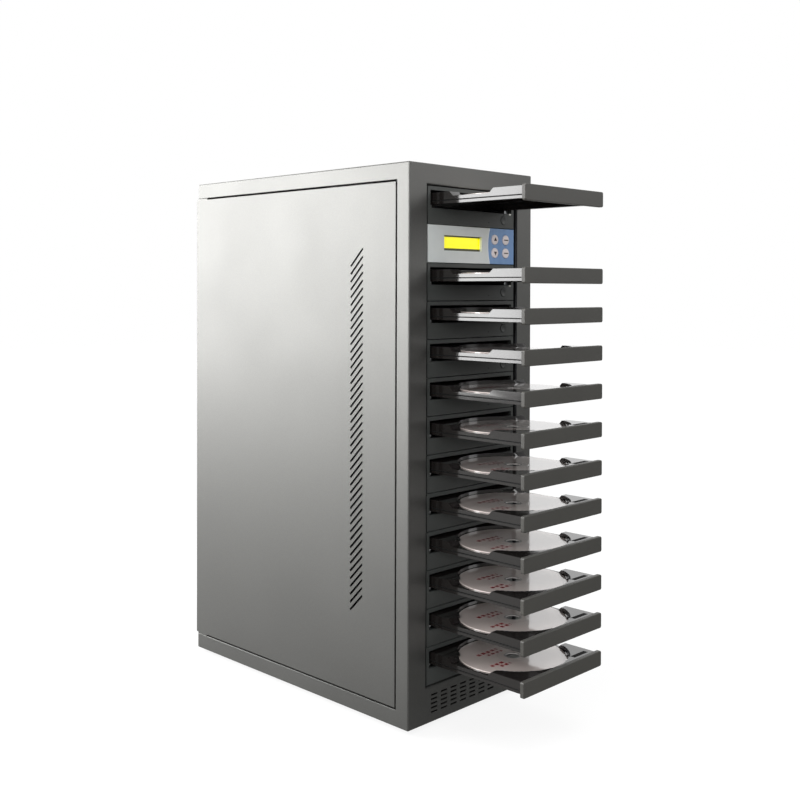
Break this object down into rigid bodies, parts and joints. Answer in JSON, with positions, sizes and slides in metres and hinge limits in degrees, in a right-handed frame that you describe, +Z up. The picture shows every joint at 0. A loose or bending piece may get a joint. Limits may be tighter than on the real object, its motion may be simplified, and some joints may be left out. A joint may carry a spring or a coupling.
{
  "type": "disc duplicator tower",
  "caption": "Upright disc duplicator: a steel tower of sliding disc trays with eject buttons, a display with keys, slide-off side panels and rear fans.",
  "frame": {"origin": "middle of the bounding box of the tower with its trays open, at the floor under the rubber feet", "axes": "+X to the right seen from the front, +Y from the front to the back, +Z up"},
  "size_m": [0.211, 0.5236, 0.615],
  "materials": {
    "case_paint": "satin grey powder coat",
    "bezel_plastic": "fine-textured moulded plastic",
    "tray_plastic": "smooth moulded plastic",
    "disc_label": "printed label side",
    "zinc_steel": "zinc-plated sheet",
    "screw_steel": "bright plated",
    "foot_rubber": "matt rubber",
    "control_silver": "satin silver plastic with a printed blue field",
    "display_yellow": "backlit yellow-green display",
    "key_rubber": "pale matt keys",
    "fan_plastic": "black moulded plastic"
  },
  "bodies": {
    "case": {"case_frame": "case_paint", "control_plate": "control_silver", "display_module": "display_yellow", "drive_bezels": "bezel_plastic", "drive_cage": "zinc_steel", "drive_housings": "zinc_steel", "fan_frames": "fan_plastic", "feet": "foot_rubber", "power_inlet": "fan_plastic", "power_supply": "zinc_steel", "rear_panel": "case_paint"},
    "tray_01": {"tray_01": "tray_plastic", "disc_01": "disc_label"},
    "eject_button_01": {"eject_button_01": "bezel_plastic"},
    "tray_03": {"tray_03": "tray_plastic", "disc_03": "disc_label"},
    "eject_button_03": {"eject_button_03": "bezel_plastic"},
    "tray_04": {"tray_04": "tray_plastic", "disc_04": "disc_label"},
    "eject_button_04": {"eject_button_04": "bezel_plastic"},
    "tray_05": {"tray_05": "tray_plastic", "disc_05": "disc_label"},
    "eject_button_05": {"eject_button_05": "bezel_plastic"},
    "tray_06": {"tray_06": "tray_plastic", "disc_06": "disc_label"},
    "eject_button_06": {"eject_button_06": "bezel_plastic"},
    "tray_07": {"tray_07": "tray_plastic", "disc_07": "disc_label"},
    "eject_button_07": {"eject_button_07": "bezel_plastic"},
    "tray_08": {"tray_08": "tray_plastic", "disc_08": "disc_label"},
    "eject_button_08": {"eject_button_08": "bezel_plastic"},
    "tray_09": {"tray_09": "tray_plastic", "disc_09": "disc_label"},
    "eject_button_09": {"eject_button_09": "bezel_plastic"},
    "tray_10": {"tray_10": "tray_plastic", "disc_10": "disc_label"},
    "eject_button_10": {"eject_button_10": "bezel_plastic"},
    "tray_11": {"tray_11": "tray_plastic", "disc_11": "disc_label"},
    "eject_button_11": {"eject_button_11": "bezel_plastic"},
    "tray_12": {"tray_12": "tray_plastic", "disc_12": "disc_label"},
    "eject_button_12": {"eject_button_12": "bezel_plastic"},
    "tray_13": {"tray_13": "tray_plastic", "disc_13": "disc_label"},
    "eject_button_13": {"eject_button_13": "bezel_plastic"},
    "key_up": {"key_up": "key_rubber"},
    "key_down": {"key_down": "key_rubber"},
    "key_cancel": {"key_cancel": "key_rubber"},
    "key_enter": {"key_enter": "key_rubber"},
    "power_switch": {"power_switch": "fan_plastic"},
    "upper_fan_rotor": {"upper_fan_rotor": "fan_plastic"},
    "lower_fan_rotor": {"lower_fan_rotor": "fan_plastic"},
    "supply_fan_rotor": {"supply_fan_rotor": "fan_plastic"},
    "left_panel": {"left_panel": "case_paint", "left_panel_screws": "screw_steel"},
    "right_panel": {"right_panel": "case_paint", "right_panel_screws": "screw_steel"}
  },
  "joints": [
    {"name": "tray_01_slide", "type": "slide", "parent": "case", "child": "tray_01", "axis": [0, 1, 0], "range_m": [0, 0.128]},
    {"name": "tray_03_slide", "type": "slide", "parent": "case", "child": "tray_03", "axis": [0, 1, 0], "range_m": [0, 0.128]},
    {"name": "tray_04_slide", "type": "slide", "parent": "case", "child": "tray_04", "axis": [0, 1, 0], "range_m": [0, 0.128]},
    {"name": "tray_05_slide", "type": "slide", "parent": "case", "child": "tray_05", "axis": [0, 1, 0], "range_m": [0, 0.128]},
    {"name": "tray_06_slide", "type": "slide", "parent": "case", "child": "tray_06", "axis": [0, 1, 0], "range_m": [0, 0.128]},
    {"name": "tray_07_slide", "type": "slide", "parent": "case", "child": "tray_07", "axis": [0, 1, 0], "range_m": [0, 0.128]},
    {"name": "tray_08_slide", "type": "slide", "parent": "case", "child": "tray_08", "axis": [0, 1, 0], "range_m": [0, 0.128]},
    {"name": "tray_09_slide", "type": "slide", "parent": "case", "child": "tray_09", "axis": [0, 1, 0], "range_m": [0, 0.128]},
    {"name": "tray_10_slide", "type": "slide", "parent": "case", "child": "tray_10", "axis": [0, 1, 0], "range_m": [0, 0.128]},
    {"name": "tray_11_slide", "type": "slide", "parent": "case", "child": "tray_11", "axis": [0, 1, 0], "range_m": [0, 0.128]},
    {"name": "tray_12_slide", "type": "slide", "parent": "case", "child": "tray_12", "axis": [0, 1, 0], "range_m": [0, 0.128]},
    {"name": "tray_13_slide", "type": "slide", "parent": "case", "child": "tray_13", "axis": [0, 1, 0], "range_m": [0, 0.128]},
    {"name": "eject_01_press", "type": "slide", "parent": "case", "child": "eject_button_01", "axis": [0, 1, 0], "range_m": [0, 0.001], "stiffness_N_per_m": 400, "springref_m": -0.0005},
    {"name": "eject_03_press", "type": "slide", "parent": "case", "child": "eject_button_03", "axis": [0, 1, 0], "range_m": [0, 0.001], "stiffness_N_per_m": 400, "springref_m": -0.0005},
    {"name": "eject_04_press", "type": "slide", "parent": "case", "child": "eject_button_04", "axis": [0, 1, 0], "range_m": [0, 0.001], "stiffness_N_per_m": 400, "springref_m": -0.0005},
    {"name": "eject_05_press", "type": "slide", "parent": "case", "child": "eject_button_05", "axis": [0, 1, 0], "range_m": [0, 0.001], "stiffness_N_per_m": 400, "springref_m": -0.0005},
    {"name": "eject_06_press", "type": "slide", "parent": "case", "child": "eject_button_06", "axis": [0, 1, 0], "range_m": [0, 0.001], "stiffness_N_per_m": 400, "springref_m": -0.0005},
    {"name": "eject_07_press", "type": "slide", "parent": "case", "child": "eject_button_07", "axis": [0, 1, 0], "range_m": [0, 0.001], "stiffness_N_per_m": 400, "springref_m": -0.0005},
    {"name": "eject_08_press", "type": "slide", "parent": "case", "child": "eject_button_08", "axis": [0, 1, 0], "range_m": [0, 0.001], "stiffness_N_per_m": 400, "springref_m": -0.0005},
    {"name": "eject_09_press", "type": "slide", "parent": "case", "child": "eject_button_09", "axis": [0, 1, 0], "range_m": [0, 0.001], "stiffness_N_per_m": 400, "springref_m": -0.0005},
    {"name": "eject_10_press", "type": "slide", "parent": "case", "child": "eject_button_10", "axis": [0, 1, 0], "range_m": [0, 0.001], "stiffness_N_per_m": 400, "springref_m": -0.0005},
    {"name": "eject_11_press", "type": "slide", "parent": "case", "child": "eject_button_11", "axis": [0, 1, 0], "range_m": [0, 0.001], "stiffness_N_per_m": 400, "springref_m": -0.0005},
    {"name": "eject_12_press", "type": "slide", "parent": "case", "child": "eject_button_12", "axis": [0, 1, 0], "range_m": [0, 0.001], "stiffness_N_per_m": 400, "springref_m": -0.0005},
    {"name": "eject_13_press", "type": "slide", "parent": "case", "child": "eject_button_13", "axis": [0, 1, 0], "range_m": [0, 0.001], "stiffness_N_per_m": 400, "springref_m": -0.0005},
    {"name": "key_up_press", "type": "slide", "parent": "case", "child": "key_up", "axis": [0, 1, 0], "range_m": [0, 0.0008], "stiffness_N_per_m": 400, "springref_m": -0.0005},
    {"name": "key_down_press", "type": "slide", "parent": "case", "child": "key_down", "axis": [0, 1, 0], "range_m": [0, 0.0008], "stiffness_N_per_m": 400, "springref_m": -0.0005},
    {"name": "key_cancel_press", "type": "slide", "parent": "case", "child": "key_cancel", "axis": [0, 1, 0], "range_m": [0, 0.0008], "stiffness_N_per_m": 400, "springref_m": -0.0005},
    {"name": "key_enter_press", "type": "slide", "parent": "case", "child": "key_enter", "axis": [0, 1, 0], "range_m": [0, 0.0008], "stiffness_N_per_m": 400, "springref_m": -0.0005},
    {"name": "power_switch_rock", "type": "hinge", "parent": "case", "child": "power_switch", "pos_m": [0.047, 0.247, 0.0672], "axis": [1, 0, 0], "range_deg": [-12, 0]},
    {"name": "left_panel_slide", "type": "slide", "parent": "case", "child": "left_panel", "axis": [0, 1, 0], "range_m": [0, 0.02]},
    {"name": "right_panel_slide", "type": "slide", "parent": "case", "child": "right_panel", "axis": [0, 1, 0], "range_m": [0, 0.02]},
    {"name": "upper_fan_spin", "type": "hinge", "parent": "case", "child": "upper_fan_rotor", "pos_m": [0, 0.24, 0.425], "axis": [0, 1, 0], "continuous": true},
    {"name": "lower_fan_spin", "type": "hinge", "parent": "case", "child": "lower_fan_rotor", "pos_m": [0, 0.24, 0.255], "axis": [0, 1, 0], "continuous": true},
    {"name": "supply_fan_spin", "type": "hinge", "parent": "case", "child": "supply_fan_rotor", "pos_m": [-0.03, 0.24, 0.0492], "axis": [0, 1, 0], "continuous": true}
  ]
}
